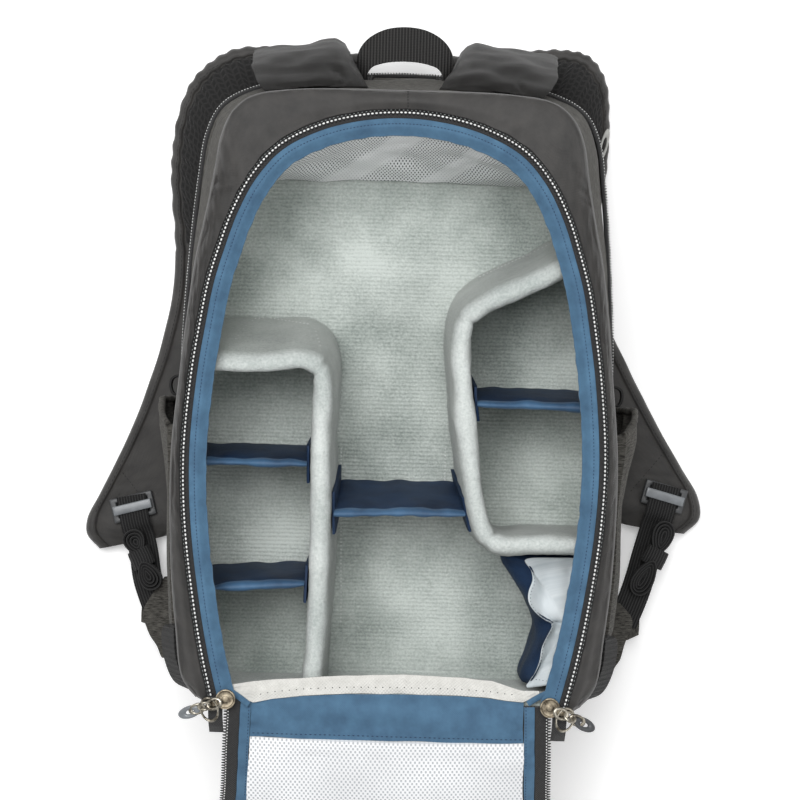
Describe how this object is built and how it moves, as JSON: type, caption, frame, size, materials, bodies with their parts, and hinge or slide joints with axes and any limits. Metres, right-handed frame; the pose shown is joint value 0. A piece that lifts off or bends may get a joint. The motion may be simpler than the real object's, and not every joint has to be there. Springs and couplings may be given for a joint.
{
  "type": "camera backpack",
  "caption": "Open camera backpack lying on its back, with a padded compartment, movable dividers, mesh and side pockets, a folded-down zip flap, shoulder straps and a grab handle.",
  "frame": {"origin": "middle of the back pad, on the surface that the bag lies on", "axes": "+Y to the top of the bag, +X to the right of its front, +Z out of the open compartment"},
  "size_m": [0.4277, 0.7739, 0.1735],
  "materials": {
    "heather": "heather grey woven polyester",
    "nylon": "dark charcoal nylon with a soft sheen",
    "lining": "grey-green brushed loop lining",
    "divider_felt": "light grey brushed loop fabric over foam",
    "bay_navy": "navy blue satin nylon",
    "facing_blue": "steel blue nylon",
    "white_mesh": "white warp-knit mesh",
    "binding": "cream-grey grosgrain binding",
    "zip_tape": "black zip tape with coil teeth",
    "zip_metal": "antique nickel",
    "webbing": "black ribbed webbing",
    "strap": "charcoal nylon and black air mesh over foam",
    "buckle": "dark grey moulded acetal",
    "pouch": "silver-blue satin lining cloth with a navy edge",
    "back_mesh": "black air mesh over foam"
  },
  "bodies": {
    "root": {"laptop_compartment": "heather", "camera_compartment": "heather", "front_frame": "nylon", "zip_track": "zip_tape", "rim_facing": "facing_blue", "back_pad": "back_mesh", "laptop_zip": "zip_tape", "laptop_zip_pull": "webbing", "top_mesh_panel": "white_mesh", "divider_left": "divider_felt", "divider_right": "divider_felt", "bay_divider_left_upper": "bay_navy", "bay_divider_left_lower": "bay_navy", "bay_divider_middle": "bay_navy", "bay_divider_right": "bay_navy", "gear_pouch": "pouch", "hinge_binding": "binding", "flap_panel": "nylon", "flap_zip_tape": "zip_tape", "flap_facing": "facing_blue", "flap_band": "facing_blue", "flap_mesh_pocket": "white_mesh", "grab_handle": "webbing", "side_pocket_left": "heather", "shoulder_strap_left": "strap", "yoke_left": "nylon", "zip_end_tab_left": "webbing", "zip_slider_left": "zip_metal", "zip_pull_left": "zip_metal", "strap_buckle_left": "buckle", "lower_webbing_left": "webbing", "webbing_roll_left": "webbing", "webbing_keeper_left": "webbing", "side_tab_left": "nylon", "side_loop_left": "webbing", "side_pocket_right": "heather", "shoulder_strap_right": "strap", "yoke_right": "nylon", "zip_end_tab_right": "webbing", "zip_slider_right": "zip_metal", "zip_pull_right": "zip_metal", "strap_buckle_right": "buckle", "lower_webbing_right": "webbing", "webbing_roll_right": "webbing", "webbing_keeper_right": "webbing", "side_tab_right": "nylon", "side_loop_right": "webbing"}
  },
  "joints": []
}
